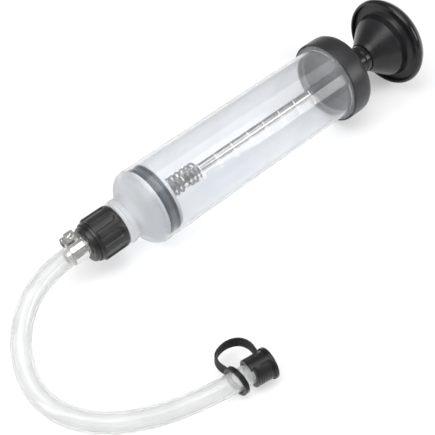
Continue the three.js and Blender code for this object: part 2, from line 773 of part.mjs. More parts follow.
// ------------------------------------------------------------------- assembly
function addBarrelAssembly() {
  addPart(pump, 'barrel', barrelGeometry(), frostedClear());
  addPart(pump, 'end_cap', endCapGeometry(), satinBlack());
  const gasket = sleeve(BARREL_END + GAP, CAP_SEAT - GAP, BORE_R + 0.3, LIP_R);
  addPart(pump, 'cap_gasket', gasket, blackRubber());
  addPart(pump, 'rod_bushing', bushingGeometry(), glossBlack());
  addPart(pump, 'rod_seal', rodSealGeometry(), blackRubber());
}

function addNozzleAssembly() {
  addPart(pump, 'nozzle_flange', nozzleFlangeGeometry(), satinBlack());
  addPart(pump, 'barb_tube', barbTubeGeometry(), steel());
  const gasketRear = NECK_FRONT - GAP - NOZZLE_GASKET_LENGTH;
  const gasket = sleeve(gasketRear, NECK_FRONT - GAP, NECK_BORE_R + GAP, NECK_R - 2 * GAP, SMALL_ROUND);
  addPart(pump, 'nozzle_gasket', gasket, blackRubber());
  addPart(pump, 'union_nut', unionNutGeometry(), satinBlack());
  addPart(clamp, 'clamp_band', clampBandGeometry(), steel());
  addPart(clamp, 'clamp_screw', clampScrewGeometry(), steel());
  addPart(clamp, 'clamp_nut', clampNutGeometry(), steel());
}

function addHoseAssembly() {
  addPart(group, 'hose', hoseGeometry(), clearVinyl());
  addPart(ringSeat, 'tether_ring', tetherRingGeometry(), satinBlack());
  addPart(tip, 'tether_strap', tetherStrapGeometry(), satinBlack());
  addPart(tip, 'dust_cap', dustCapGeometry(), satinBlack());
}

function addPlunger() {
  addPart(plunger, 'plunger_rod', rodGeometry(), steel());
  addPart(plunger, 'piston_screw', pistonScrewGeometry(), steel());
  const washerEnd = PISTON_FRONT - GAP;
  const washerStart = washerEnd - PISTON_WASHER_LENGTH;
  const washer = sleeve(washerStart, washerEnd, pistonScrewBoreR, PISTON_WASHER_R, SMALL_ROUND);
  addPart(plunger, 'piston_washer', washer, steel());
  addPart(plunger, 'piston_head', pistonHeadGeometry(), paleNylon());
  addPart(plunger, 'piston_seal_front', sealGeometry(frontSealStart), blackRubber());
  const spacer = sleeve(spacerStart, spacerStart + SPACER_LENGTH, PISTON_HUB_R + GAP, PISTON_R);
  addPart(plunger, 'piston_spacer', spacer, paleNylon());
  addPart(plunger, 'piston_seal_rear', sealGeometry(rearSealStart), blackRubber());
  const backPlate = sleeve(backPlateStart, backPlateStart + BACK_PLATE, ROD_R + GAP, PISTON_R);
  addPart(plunger, 'piston_back_plate', backPlate, paleNylon());
  const lockNut = hexNut(lockNutStart, LOCK_NUT_LENGTH, LOCK_NUT_FLATS, ROD_R + GAP);
  addPart(plunger, 'piston_lock_nut', lockNut, steel());
  const seatEnd = springSeatStart + SPRING_SEAT_LENGTH;
  const seat = sleeve(springSeatStart, seatEnd, ROD_R + GAP, SPRING_R + 1.5, SMALL_ROUND);
  addPart(plunger, 'spring_seat', seat, steel());
  addPart(plunger, 'buffer_spring', springGeometry(), steel());
  addPart(plunger, 'knob_ferrule', ferruleGeometry(), glossBlack());
  addPart(plunger, 'knob_hub', knobHubGeometry(), satinBlack());
  const knobNut = hexNut(KNOB_WEB + GAP, KNOB_NUT_LENGTH, LOCK_NUT_FLATS, ROD_R + GAP);
  addPart(plunger, 'knob_nut', knobNut, steel());
  addPart(plunger, 'knob_cover', knobCoverGeometry(), glossBlack());
}

addBarrelAssembly();
addNozzleAssembly();
addHoseAssembly();
addPlunger();

export default group;
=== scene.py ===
import json
import math

import bmesh
import bpy
from mathutils import Matrix, Vector


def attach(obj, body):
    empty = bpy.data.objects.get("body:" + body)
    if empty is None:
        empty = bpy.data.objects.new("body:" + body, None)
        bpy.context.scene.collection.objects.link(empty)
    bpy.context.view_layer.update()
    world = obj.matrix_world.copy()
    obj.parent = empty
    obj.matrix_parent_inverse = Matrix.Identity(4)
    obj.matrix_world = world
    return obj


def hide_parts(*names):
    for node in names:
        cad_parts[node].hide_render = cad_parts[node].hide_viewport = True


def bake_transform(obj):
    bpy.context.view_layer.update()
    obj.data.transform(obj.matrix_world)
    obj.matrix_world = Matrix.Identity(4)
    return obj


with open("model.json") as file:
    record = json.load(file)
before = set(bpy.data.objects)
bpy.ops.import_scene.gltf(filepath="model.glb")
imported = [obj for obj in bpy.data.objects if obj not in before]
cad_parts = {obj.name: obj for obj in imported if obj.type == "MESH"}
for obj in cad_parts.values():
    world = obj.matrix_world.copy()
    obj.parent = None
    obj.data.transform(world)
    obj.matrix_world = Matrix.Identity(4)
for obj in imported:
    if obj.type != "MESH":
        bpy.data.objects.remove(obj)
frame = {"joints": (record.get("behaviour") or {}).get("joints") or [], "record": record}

# Stations are millimetres along the pump's axis, from the inner face of the
# barrel's front wall towards the knob. Radii are millimetres too.
MM = 0.001

# Where the record's joints and mounts lie in the axes of their own part.
UNION_NUT_PIVOT = -30
CLAMP_SCREW_HEIGHT = 12.6
TIP_FACE_STATION = 26

BARREL_R = 32.5
BORE_R = 30.3
BARREL_END = 215
LIP_R = 35.1
NECK_R = 16.4
NECK_BORE_R = 8.5
SCALE_START = 32.8
SCALE_PITCH = 17.34
SCALE_MARKS = 9
ML_PER_MARK = 50
MARK_ANGLE = math.radians(-34)
NUMBER_ANGLE = math.radians(-46)
NUMBER_SIZE = 5.2

CAP_R = 37.2
CAP_FRONT = 211
CAP_REAR = 232.5
CAP_SHELF = 217.1
CAP_SKIRT_R = 35.6
BUSHING_R = 7.5
BUSHING_SEAT = 222
WIPER_SEAT = 226.6

ROD_R = 4
ROD_HOLE_R = 4.3
ROD_END = 286

UNION_R = 18.5
UNION_REAR = -21
UNION_FRONT = -47.3
FLUTES = 8
FLUTE_TURN = math.radians(10)
FLUTE_HALF_WIDTH = 4.3
FLUTE_FLOOR_R = 17.2
FLUTE_REAR = -24.6
NOZZLE_REAR = -40.1
NOZZLE_FACE = -51.5
NOZZLE_BOSS_R = 15.2
BARB_R = 5.3
BARB_CREST_R = 5.85
BARB_BORE_R = 4
BARB_END = -70

HOSE_R = 8
HOSE_BORE_R = 6.2
HOSE_START = NOZZLE_FACE - 0.3
HOSE_END_IN_CAP = 22.1

# The clamp's heights are measured from the hose's axis.
CLAMP_WIDTH = 12
CLAMP_EAR_HEIGHT = 15.8
CLAMP_EAR_MIDDLE = 3.6
CLAMP_BAND_R = 8.5
CLAMP_THICKNESS = 0.88
CLAMP_CORNER = 3
CLAMP_EAR_STEP = 0.7
CLAMP_EAR_STEPS = 9
SCREW_SEAT = 4.5
SCREW_R = 2.2
SCREW_HEAD_R = 4.2

KNOB_R = 41
KNOB_RIM = 289.6
KNOB_FRONT = 258.5
CONE_EDGE = 279.7
CONE_EDGE_R = 28
RECESS_FLOOR = 289.6
KNOB_BACK = 307.2
COLLAR_R = 12.4
PISTON_R = 29
SEAL_ROOT_R = 22.3
SEAL_LIP_R = 30.1

# The hose's tip has stations of its own, along its own axis towards the dust cap.
RING_STATION = -2.7
RING_SKEW = math.radians(10)
RING_R = 11.6
DUST_CAP_R = 11.2
DUST_CAP_MOUTH = 7
DUST_CAP_LOW_MOUTH = 8.6
DUST_CAP_FLANGE = 23.2
DUST_CAP_BORE_R = 8.5
DUST_CAP_FLANGE_R = 12.4
GRIP_SLOT_LEAN = math.radians(25)

# The free hose's centreline between the clamp and its tip, in metres.
HOSE_ROUTE = [
    (-0.208, -0.0025, 0.0293),
    (-0.228, -0.0095, 0.0262),
    (-0.245, -0.021, 0.0209),
    (-0.258, -0.0365, 0.0149),
    (-0.266, -0.0545, 0.0104),
    (-0.2685, -0.074, 0.0085),
    (-0.265, -0.093, 0.0082),
    (-0.2555, -0.110, 0.0082),
    (-0.241, -0.1245, 0.0082),
    (-0.223, -0.136, 0.0082),
    (-0.203, -0.1448, 0.0084),
    (-0.1835, -0.1514, 0.0098),
]

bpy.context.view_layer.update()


# ------------------------------------------------------- frames from the record
def axes_matrix(origin, x_axis, y_axis):
    """From millimetres in a part's own axes to metres in the row frame."""
    z_axis = x_axis.cross(y_axis)
    turn = Matrix((x_axis, y_axis, z_axis)).transposed().to_4x4()
    return Matrix.Translation(origin) @ turn @ Matrix.Scale(MM, 4)


joints = {joint["name"]: joint for joint in frame["joints"]}
mounts = {mount["name"]: mount for mount in frame["record"]["mounts"]}

pump_axis = Vector(joints["plunger_slide"]["axis"]).normalized()
side = Vector((0, 1, 0))
nut_pivot = Vector(joints["union_nut_turn"]["pos_m"])
PUMP = axes_matrix(nut_pivot - pump_axis * UNION_NUT_PIVOT * MM, pump_axis, side)

screw_axis = Vector(joints["clamp_screw_turn"]["axis"]).normalized()
screw_place = Vector(joints["clamp_screw_turn"]["pos_m"])
clamp_up = pump_axis.cross(screw_axis)
CLAMP = axes_matrix(screw_place - clamp_up * CLAMP_SCREW_HEIGHT * MM, pump_axis, screw_axis)

tip_axis = Vector(mounts["dust_cap_end_face"]["axis"]).normalized()
tip_face = Vector(mounts["dust_cap_end_face"]["pos_m"])
tip_side = Vector((0, 0, 1)).cross(tip_axis)
TIP = axes_matrix(tip_face - tip_axis * TIP_FACE_STATION * MM, tip_axis, tip_side)


# ------------------------------------------------------------------- the camera
def add_camera():
    """Looks down on the pump from its nozzle's side, as the photograph does."""
    azimuth, elevation = math.radians(-42.115), math.radians(49.291)
    distance = 0.8751
    target = Vector((-0.0505, -0.0186, -0.013))
    back = Vector((
        math.sin(azimuth) * math.cos(elevation),
        -math.cos(azimuth) * math.cos(elevation),
        math.sin(elevation),
    ))
    data = bpy.data.cameras.new("camera")
    data.lens = 86.26
    data.sensor_width = 36
    data.clip_start = 0.01
    camera = bpy.data.objects.new("camera", data)
    camera.location = target + back * distance
    camera.rotation_euler = back.to_track_quat("Z", "Y").to_euler()
    bpy.context.scene.collection.objects.link(camera)
    bpy.context.scene.camera = camera


add_camera()


# -------------------------------------------------------------------- materials
def new_material(name, **values):
    """A material whose Principled shader has these values on its own sockets."""
    material = bpy.data.materials.new(name)
    material.use_nodes = True
    shader = material.node_tree.nodes["Principled BSDF"]
    for key, value in values.items():
        shader.inputs[key.replace("_", " ")].default_value = value
    return material


def shader_of(material):
    return material.node_tree.nodes["Principled BSDF"]


def texture(material, kind, stretch=(1, 1, 1), **values):
    """A procedural texture in the object's own space, in cycles a millimetre."""
    nodes, links = material.node_tree.nodes, material.node_tree.links
    coordinates = nodes.new("ShaderNodeTexCoord")
    mapping = nodes.new("ShaderNodeMapping")
    mapping.inputs["Scale"].default_value = [s / MM for s in stretch]
    node = nodes.new(kind)
    links.new(coordinates.outputs["Object"], mapping.inputs["Vector"])
    links.new(mapping.outputs["Vector"], node.inputs["Vector"])
    for key, value in values.items():
        node.inputs[key].default_value = value
    return node.outputs[0]


def spread(material, source, low, high, to_low, to_high):
    """Maps source from low..high to to_low..to_high."""
    node = material.node_tree.nodes.new("ShaderNodeMapRange")
    ends = {"From Min": low, "From Max": high, "To Min": to_low, "To Max": to_high}
    for key, value in ends.items():
        node.inputs[key].default_value = value
    material.node_tree.links.new(source, node.inputs["Value"])
    return node.outputs["Result"]


def tint(material, source, dark, light, low=0.3, high=0.7):
    """A colour between dark and light as source goes from low to high."""
    node = material.node_tree.nodes.new("ShaderNodeValToRGB")
    first, last = node.color_ramp.elements
    first.position, first.color = low, (*dark, 1)
    last.position, last.color = high, (*light, 1)
    material.node_tree.links.new(source, node.inputs["Fac"])
    return node.outputs["Color"]


def edge_wear(material, colour, worn):
    """Mixes in the worn colour along the piece's sharp outer edges."""
    nodes, links = material.node_tree.nodes, material.node_tree.links
    geometry = nodes.new("ShaderNodeNewGeometry")
    first_wear, full_wear = 0.52, 0.6
    share = spread(material, geometry.outputs["Pointiness"], first_wear, full_wear, 0, 1)
    mix = nodes.new("ShaderNodeMix")
    mix.data_type = "RGBA"
    links.new(share, mix.inputs["Factor"])
    links.new(colour, mix.inputs["A"])
    mix.inputs["B"].default_value = (*worn, 1)
    return mix.outputs["Result"]


def fade_along_x(material, start, end, at_start, at_end):
    """A value that changes smoothly along X between two places, in metres."""
    nodes, links = material.node_tree.nodes, material.node_tree.links
    coordinates = nodes.new("ShaderNodeTexCoord")
    parts = nodes.new("ShaderNodeSeparateXYZ")
    links.new(coordinates.outputs["Object"], parts.inputs["Vector"])
    return spread(material, parts.outputs["X"], start, end, at_start, at_end)


def add(material, first, second):
    """The sum of two values."""
    node = material.node_tree.nodes.new("ShaderNodeMath")
    node.operation = "ADD"
    material.node_tree.links.new(first, node.inputs[0])
    material.node_tree.links.new(second, node.inputs[1])
    return node.outputs["Value"]


def drive(material, socket, source):
    """Feeds a source into one of the Principled shader's sockets."""
    material.node_tree.links.new(source, shader_of(material).inputs[socket])


def bump(material, source, depth_mm, strength=1):
    """Small surface relief that follows a source."""
    node = material.node_tree.nodes.new("ShaderNodeBump")
    node.inputs["Strength"].default_value = strength
    node.inputs["Distance"].default_value = depth_mm * MM
    material.node_tree.links.new(source, node.inputs["Height"])
    drive(material, "Normal", node.outputs["Normal"])


def frosted_plastic():
    """Moulded polypropylene: clear along the tube, and milkier in the cone, the neck and
    at the open end."""
    made = new_material("frosted_plastic", IOR=1.4)
    shoulder_length, milky_end_length = 8 * MM, 50 * MM
    cloud = texture(made, "ShaderNodeTexNoise", Scale=0.035, Detail=3)
    grain = texture(made, "ShaderNodeTexNoise", Scale=0.9, Detail=4)
    shoulder = (PUMP @ Vector((0, 0, 0))).x
    open_end = (PUMP @ Vector((BARREL_END, 0, 0))).x
    drive(made, "Base Color", tint(made, cloud, (0.865, 0.885, 0.91), (0.92, 0.932, 0.945)))
    clearness = fade_along_x(made, shoulder, shoulder + shoulder_length, 0.78, 0.95)
    milkiness = fade_along_x(made, open_end - milky_end_length, open_end, 0, -0.07)
    drive(made, "Transmission Weight", add(made, clearness, milkiness))
    frosting = fade_along_x(made, shoulder, shoulder + shoulder_length, 0.34, 0)
    drive(made, "Roughness", add(made, frosting, spread(made, grain, 0.3, 0.7, 0.05, 0.1)))
    bump(made, cloud, 0.5, 0.25)
    return made


def clear_vinyl():
    """Soft clear hose, slightly cloudy and wavy along its length."""
    made = new_material("clear_vinyl", Transmission_Weight=0.8, IOR=1.34)
    cloud = texture(made, "ShaderNodeTexNoise", Scale=0.06, Detail=2)
    grain = texture(made, "ShaderNodeTexNoise", Scale=0.8, Detail=3)
    drive(made, "Base Color", tint(made, cloud, (0.84, 0.85, 0.85), (0.90, 0.90, 0.895)))
    drive(made, "Roughness", spread(made, grain, 0.3, 0.7, 0.08, 0.16))
    bump(made, cloud, 0.4, 0.3)
    return made


def satin_black(name, shade, roughness, shine=0.45, hue=(1, 1, 1.1)):
    """Satin black moulding, cloudy and finely grained, paler along its edges."""
    made = new_material(name, Specular_IOR_Level=shine)
    cloud = texture(made, "ShaderNodeTexNoise", Scale=0.08, Detail=4)
    grain = texture(made, "ShaderNodeTexNoise", Scale=3.2, Detail=3)
    dark, light, worn = ([shade * times * part for part in hue] for times in (1, 1.5, 3.6))
    drive(made, "Base Color", edge_wear(made, tint(made, cloud, dark, light), worn))
    drive(made, "Roughness", spread(made, cloud, 0.3, 0.7, *roughness))
    bump(made, grain, 0.05, 0.35)
    return made


def gloss_black():
    """Polished black, with faint polishing haze."""
    made = new_material("gloss_black", Specular_IOR_Level=0.3, Coat_Weight=0.15, Coat_Roughness=0.08)
    cloud = texture(made, "ShaderNodeTexNoise", Scale=0.07, Detail=5)
    fine = texture(made, "ShaderNodeTexNoise", Scale=1.6, Detail=4)
    colour = tint(made, cloud, (0.006, 0.006, 0.007), (0.011, 0.011, 0.012))
    drive(made, "Base Color", edge_wear(made, colour, (0.035, 0.035, 0.038)))
    drive(made, "Roughness", spread(made, fine, 0.3, 0.7, 0.14, 0.24))
    bump(made, cloud, 0.2, 0.12)
    return made


def rubber():
    """Matt dark rubber with a faint bloom."""
    made = new_material("rubber")
    cloud = texture(made, "ShaderNodeTexNoise", Scale=0.25, Detail=4)
    grain = texture(made, "ShaderNodeTexNoise", Scale=4, Detail=2)
    drive(made, "Base Color", tint(made, cloud, (0.006, 0.011, 0.019), (0.013, 0.022, 0.034)))
    drive(made, "Roughness", spread(made, cloud, 0.3, 0.7, 0.5, 0.68))
    bump(made, grain, 0.04, 0.4)
    return made


def nylon():
    """Natural nylon turned from bar: pale, waxy, with faint tool rings."""
    made = new_material("nylon", Subsurface_Weight=0.15, Subsurface_Scale=0.004)
    cloud = texture(made, "ShaderNodeTexNoise", Scale=0.1, Detail=3)
    rings = texture(made, "ShaderNodeTexNoise", stretch=(3, 0.02, 0.02), Scale=1, Detail=2)
    drive(made, "Base Color", tint(made, cloud, (0.60, 0.64, 0.68), (0.72, 0.75, 0.78)))
    drive(made, "Roughness", spread(made, rings, 0.3, 0.7, 0.35, 0.5))
    bump(made, rings, 0.04, 0.3)
    return made


def bright_steel(name="bright_steel", stretch=(0.15, 1, 1), roughness=(0.1, 0.2), shade=1):
    """Plated steel with fine drawn scratches."""
    made = new_material(name, Metallic=1)
    scratches = texture(made, "ShaderNodeTexNoise", stretch=stretch, Scale=2.5, Detail=5)
    cloud = texture(made, "ShaderNodeTexNoise", Scale=0.12, Detail=3)
    tones = (0.52, 0.51, 0.50), (0.68, 0.67, 0.66)
    dark, light = ([shade * part for part in tone] for tone in tones)
    drive(made, "Base Color", tint(made, cloud, dark, light))
    drive(made, "Roughness", spread(made, scratches, 0.3, 0.7, *roughness))
    bump(made, scratches, 0.02, 0.25)
    return made


def printed_ink():
    """Pale pad-printed ink, worn thin in places."""
    made = new_material("printed_ink")
    wear = texture(made, "ShaderNodeTexNoise", Scale=1.2, Detail=4)
    drive(made, "Base Color", tint(made, wear, (0.80, 0.76, 0.75), (0.93, 0.90, 0.89)))
    drive(made, "Roughness", spread(made, wear, 0.3, 0.7, 0.35, 0.5))
    return made


FROSTED = frosted_plastic()
VINYL = clear_vinyl()
SATIN = satin_black("satin_black", 0.010, (0.25, 0.36), 0.5)
CAP_BLACK = satin_black("cap_black", 0.015, (0.3, 0.4))
CONE_BLACK = satin_black("cone_black", 0.012, (0.24, 0.34), 0.35)
MOULDED = satin_black("tether_black", 0.006, (0.22, 0.34), 0.4)
SLATE = satin_black("slate_rubber", 0.06, (0.14, 0.22), 0.45, (0.8, 1.05, 1.35))
GLOSS = gloss_black()
RUBBER = rubber()
NYLON = nylon()
STEEL = bright_steel(shade=1.28)
ROD_STEEL = bright_steel("rod_steel", (0.05, 1.5, 1.5), (0.14, 0.22))
SPRING_STEEL = bright_steel("spring_steel", (1, 1, 1), (0.12, 0.2), 0.6)
INK = printed_ink()


# ------------------------------------------------------------------ mesh making
USUAL_ROUNDING = 0.25


def finish_mesh(name, bm, material, sharp_degrees=38):
    """A smooth-shaded piece from a bmesh, with creases at its sharp edges."""
    bmesh.ops.remove_doubles(bm, verts=bm.verts, dist=1e-7)
    bmesh.ops.recalc_face_normals(bm, faces=bm.faces)
    mesh = bpy.data.meshes.new(name)
    bm.to_mesh(mesh)
    bm.free()
    mesh.shade_smooth()
    mesh.set_sharp_from_angle(angle=math.radians(sharp_degrees))
    mesh.materials.append(material)
    piece = bpy.data.objects.new(name, mesh)
    bpy.context.scene.collection.objects.link(piece)
    return piece


def skin(name, rings, closed, material, sharp_degrees=38):
    """Joins rings of points, each to the next. A closed skin also joins the last ring to
    the first, and an open one is capped at both ends."""
    bm = bmesh.new()
    rows = [[bm.verts.new(point) for point in ring] for ring in rings]
    pairs = list(zip(rows, rows[1:]))
    if closed:
        pairs.append((rows[-1], rows[0]))
    for first, second in pairs:
        for i, a in enumerate(first):
            j = (i + 1) % len(first)
            bm.faces.new((a, first[j], second[j], second[i]))
    if not closed:
        bm.faces.new(rows[0])
        bm.faces.new(rows[-1])
    return finish_mesh(name, bm, material, sharp_degrees)


def rounded(outline, closed=True, steps=4):
    """Rounds an outline's corners. A point is (station, radius) or (station, radius, rounding)."""
    least_rounding, share_of_side = 0.02, 0.48
    points = [Vector(p[:2]) for p in outline]
    sizes = [p[2] if len(p) > 2 else USUAL_ROUNDING for p in outline]
    count = len(points)
    made = []
    for i, point in enumerate(points):
        end = not closed and i in (0, count - 1)
        before, after = points[i - 1] - point, points[(i + 1) % count] - point
        reach = min(sizes[i], before.length * share_of_side, after.length * share_of_side)
        if end or reach < least_rounding:
            made.append(point)
            continue
        start = point + before.normalized() * reach
        stop = point + after.normalized() * reach
        for k in range(steps + 1):
            t = k / steps
            made.append(start * (1 - t) ** 2 + point * 2 * t * (1 - t) + stop * t ** 2)
    return made


def no_change(station, radius, angle):
    """The shape of a plain turned piece."""
    return radius


def flat_ring(start, end, inner, outer, rounding, inner_rounding=USUAL_ROUNDING):
    """The outline of a flat ring that reaches from start to end along the axis."""
    return [
        (start, inner, inner_rounding),
        (start, outer, rounding),
        (end, outer, rounding),
        (end, inner, inner_rounding),
    ]


def turned(name, outline, material, matrix=PUMP, segments=96, shape=no_change, sharp_degrees=38):
    """A body of revolution about the X axis of matrix. The outline closes on itself, or
    runs from the axis back to the axis. shape(station, radius, angle) may change a radius."""
    on_axis = outline[0][1] == 0 and outline[-1][1] == 0
    angles = [2 * math.pi * k / segments for k in range(segments)]
    rings = []
    for station, radius in rounded(outline, closed=not on_axis):
        ring = []
        for angle in angles:
            r = shape(station, radius, angle)
            ring.append(matrix @ Vector((station, r * math.sin(angle), r * math.cos(angle))))
        rings.append(ring)
    return skin(name, rings, not on_axis, material, sharp_degrees)


def smooth_path(points, per_span=10):
    """A centripetal Catmull-Rom curve through the points."""
    points = [Vector(p) for p in points]
    points = [points[0] * 2 - points[1]] + points + [points[-1] * 2 - points[-2]]
    made = []
    for p0, p1, p2, p3 in zip(points, points[1:], points[2:], points[3:]):
        t1 = (p1 - p0).length ** 0.5
        t2 = t1 + (p2 - p1).length ** 0.5
        t3 = t2 + (p3 - p2).length ** 0.5
        for k in range(per_span):
            t = t1 + (t2 - t1) * k / per_span
            a1 = p0.lerp(p1, t / t1)
            a2 = p1.lerp(p2, (t - t1) / (t2 - t1))
            a3 = p2.lerp(p3, (t - t2) / (t3 - t2))
            b1 = a1.lerp(a2, t / t2)
            b2 = a2.lerp(a3, (t - t1) / (t3 - t1))
            made.append(b1.lerp(b2, (t - t1) / (t2 - t1)))
    made.append(points[-2])
    return made


def frames_along(path, up):
    """(point, side, up) at each point of the path, turning no more than the path does."""
    made = []
    up = Vector(up)
    for i, point in enumerate(path):
        heading = (path[min(i + 1, len(path) - 1)] - path[max(i - 1, 0)]).normalized()
        across = up.cross(heading).normalized()
        up = heading.cross(across).normalized()
        made.append((point, across, up))
    return made


def section_rings(frames, section):
    """The section, (across, up) in metres, at each frame."""
    return [[point + across * a + up * b for a, b in section] for point, across, up in frames]


def circle(radius, count):
    """A round section of count points."""
    angles = [2 * math.pi * k / count for k in range(count)]
    return [(radius * math.cos(angle), radius * math.sin(angle)) for angle in angles]


def place(piece, body, slot, *nodes):
    """The piece rides on the body and stands for the CAD nodes, which it hides. The slot is not used."""
    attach(piece, body)
    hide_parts(*nodes)
    return piece


def add_box(bm, matrix, middle, size):
    """A box of this size in the axes of matrix."""
    shape = Matrix.Translation(middle) @ Matrix.Diagonal((*size, 1))
    bmesh.ops.create_cube(bm, size=1, matrix=matrix @ shape)


def cut_away(piece, cutter_mesh):
    """Cuts the cutter's shape out of the piece, and creases the new edges."""
    mesh = bpy.data.meshes.new("cutter")
    bmesh.ops.recalc_face_normals(cutter_mesh, faces=cutter_mesh.faces)
    cutter_mesh.to_mesh(mesh)
    cutter_mesh.free()
    cutter = bpy.data.objects.new("cutter", mesh)
    bpy.context.scene.collection.objects.link(cutter)
    modifier = piece.modifiers.new("cut", "BOOLEAN")
    modifier.object = cutter
    modifier.solver = "EXACT"
    bpy.context.view_layer.update()
    cut = bpy.data.meshes.new_from_object(piece.evaluated_get(bpy.context.evaluated_depsgraph_get()))
    cut.name = piece.name
    piece.modifiers.clear()
    piece.data = cut
    cut.shade_smooth()
    cut.set_sharp_from_angle(angle=math.radians(32))
    bpy.data.objects.remove(cutter)


# --------------------------------------------------------------------- the hose
def hose_path():
    """Straight off the barb, along the free route, and straight into the dust cap."""
    barb_stations = (HOSE_START, HOSE_START - 10, HOSE_START - 20)
    tip_stations = (-12, 0, HOSE_END_IN_CAP)
    at_nozzle = [PUMP @ Vector((station, 0, 0)) for station in barb_stations]
    at_tip = [TIP @ Vector((station, 0, 0)) for station in tip_stations]
    return smooth_path([*at_nozzle, *HOSE_ROUTE, *at_tip])


def add_hose():
    """A round tube with its real bore, and its centreline."""
    path = hose_path()
    frames = frames_along(path, (0, 0, 1))
    sides = 40
    outer = section_rings(frames, circle(HOSE_R * MM, sides))
    inner = section_rings(frames, circle(HOSE_BORE_R * MM, sides))
    hose = skin("clear_hose", outer + inner[::-1], True, VINYL)
    place(hose, "barrel", "clear_vinyl", "hose")
    return hose, path


hose, hose_line = add_hose()


# -------------------------------------------------------------------- the barrel
def add_barrel():
    """One wall: the neck with its collar, the cone, the tube and the lip at the open end."""
    barrel = turned("clear_barrel", [
        (-38, NECK_BORE_R),
        (-38, NECK_R - 0.4, 0.6),
        (-21.6, NECK_R),
        (-21.4, NECK_R - 1.2),
        (-20.8, NECK_R - 1.2),
        (-20.6, NECK_R + 1.6, 0.5),
        (-17.7, NECK_R + 1.6, 0.5),
        (-17.6, NECK_R + 2.5, 0.6),
        (-14, NECK_R + 2.5, 0.8),
        (-13, NECK_R + 1.4, 1),
        (-8, NECK_R + 3.4, 5),
        (-2.5, BARREL_R - 4.4, 3),
        (3, BARREL_R, 4.5),
        (BARREL_END - 5.9, BARREL_R, 0.6),
        (BARREL_END - 5.2, LIP_R, 0.5),
        (BARREL_END, LIP_R, 0.5),
        (BARREL_END, BORE_R, 0.4),
        (4, BORE_R, 4),
        (-1.5, BORE_R - 4, 4),
        (-8.5, NECK_R, 4),
        (-13, NECK_BORE_R, 3),
    ], FROSTED, segments=160)
    place(barrel, "barrel", "frosted_barrel", "barrel")


def on_barrel(station, angle, lift):
    """A point on the barrel's outside, lifted off it by some millimetres."""
    radius = BARREL_R + lift
    return PUMP @ Vector((station, radius * math.sin(angle), radius * math.cos(angle)))


def add_mark(bm, middle):
    """A printed line, part of the way round the barrel."""
    half_angle, half_width, print_height = 4, 0.3, 0.07
    skirt_width, skirt_height = half_width + 0.05, 0.01
    angles = [MARK_ANGLE + math.radians(a) for a in range(-half_angle, half_angle + 1)]
    edges = (
        (-skirt_width, skirt_height),
        (-half_width, print_height),
        (half_width, print_height),
        (skirt_width, skirt_height),
    )
    rows = [[bm.verts.new(on_barrel(middle + s, a, h)) for a in angles] for s, h in edges]
    for low, high in zip(rows, rows[1:]):
        for k in range(len(angles) - 1):
            bm.faces.new((low[k], low[k + 1], high[k + 1], high[k]))


def add_number(bm, middle, number):
    """A printed number, bent round the barrel."""
    half_thickness, lift = 0.03, 0.04
    text = bpy.data.curves.new("number", "FONT")
    text.body = str(number)
    text.size = NUMBER_SIZE
    text.align_x = "CENTER"
    text.align_y = "CENTER"
    text.extrude = half_thickness
    text.resolution_u = 3
    holder = bpy.data.objects.new("number", text)
    bpy.context.scene.collection.objects.link(holder)
    bpy.context.view_layer.update()
    solid = holder.evaluated_get(bpy.context.evaluated_depsgraph_get())
    flat = solid.to_mesh()
    made = []
    for v in flat.vertices:
        bent = on_barrel(middle + v.co.y, NUMBER_ANGLE + v.co.x / BARREL_R, lift + v.co.z)
        made.append(bm.verts.new(bent))
    for polygon in flat.polygons:
        bm.faces.new([made[k] for k in polygon.vertices])
    solid.to_mesh_clear()
    bpy.data.objects.remove(holder)


def add_scale():
    """Printed marks every 50 ml, with their numbers, on the outside of the barrel."""
    bm = bmesh.new()
    for i in range(SCALE_MARKS):
        middle = SCALE_START + SCALE_PITCH * i
        add_mark(bm, middle)
        add_number(bm, middle, ML_PER_MARK * (i + 1))
    scale = finish_mesh("printed_scale", bm, INK)
    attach(scale, "barrel")


def add_end_cap():
    """The cap over the barrel's lip, with the rubber ring that seals it."""
    cap = turned("end_cap_shell", [
        (CAP_FRONT, CAP_SKIRT_R, 0.3),
        (CAP_FRONT, CAP_R, 0.8),
        (CAP_REAR, CAP_R, 7),
        (CAP_REAR, 12.4, 0.6),
        (CAP_REAR - 0.6, 11.6, 0.4),
        (CAP_REAR - 0.6, BUSHING_R + 0.4, 0.3),
        (CAP_REAR - 4, BUSHING_R + 0.4),
        (CAP_REAR - 4, BORE_R - 0.8, 1),
        (CAP_SHELF, BORE_R - 0.8),
        (CAP_SHELF, CAP_SKIRT_R),
    ], CAP_BLACK, segments=160)
    place(cap, "barrel", "black_moulding", "end_cap")
    front, rear = BARREL_END + 0.2, CAP_SHELF - 0.2
    seal_outline = flat_ring(front, rear, BORE_R + 0.4, LIP_R - 0.3, 0.6, 0.6)
    gasket = turned("cap_seal_ring", seal_outline, RUBBER)
    place(gasket, "barrel", "black_rubber", "cap_gasket")


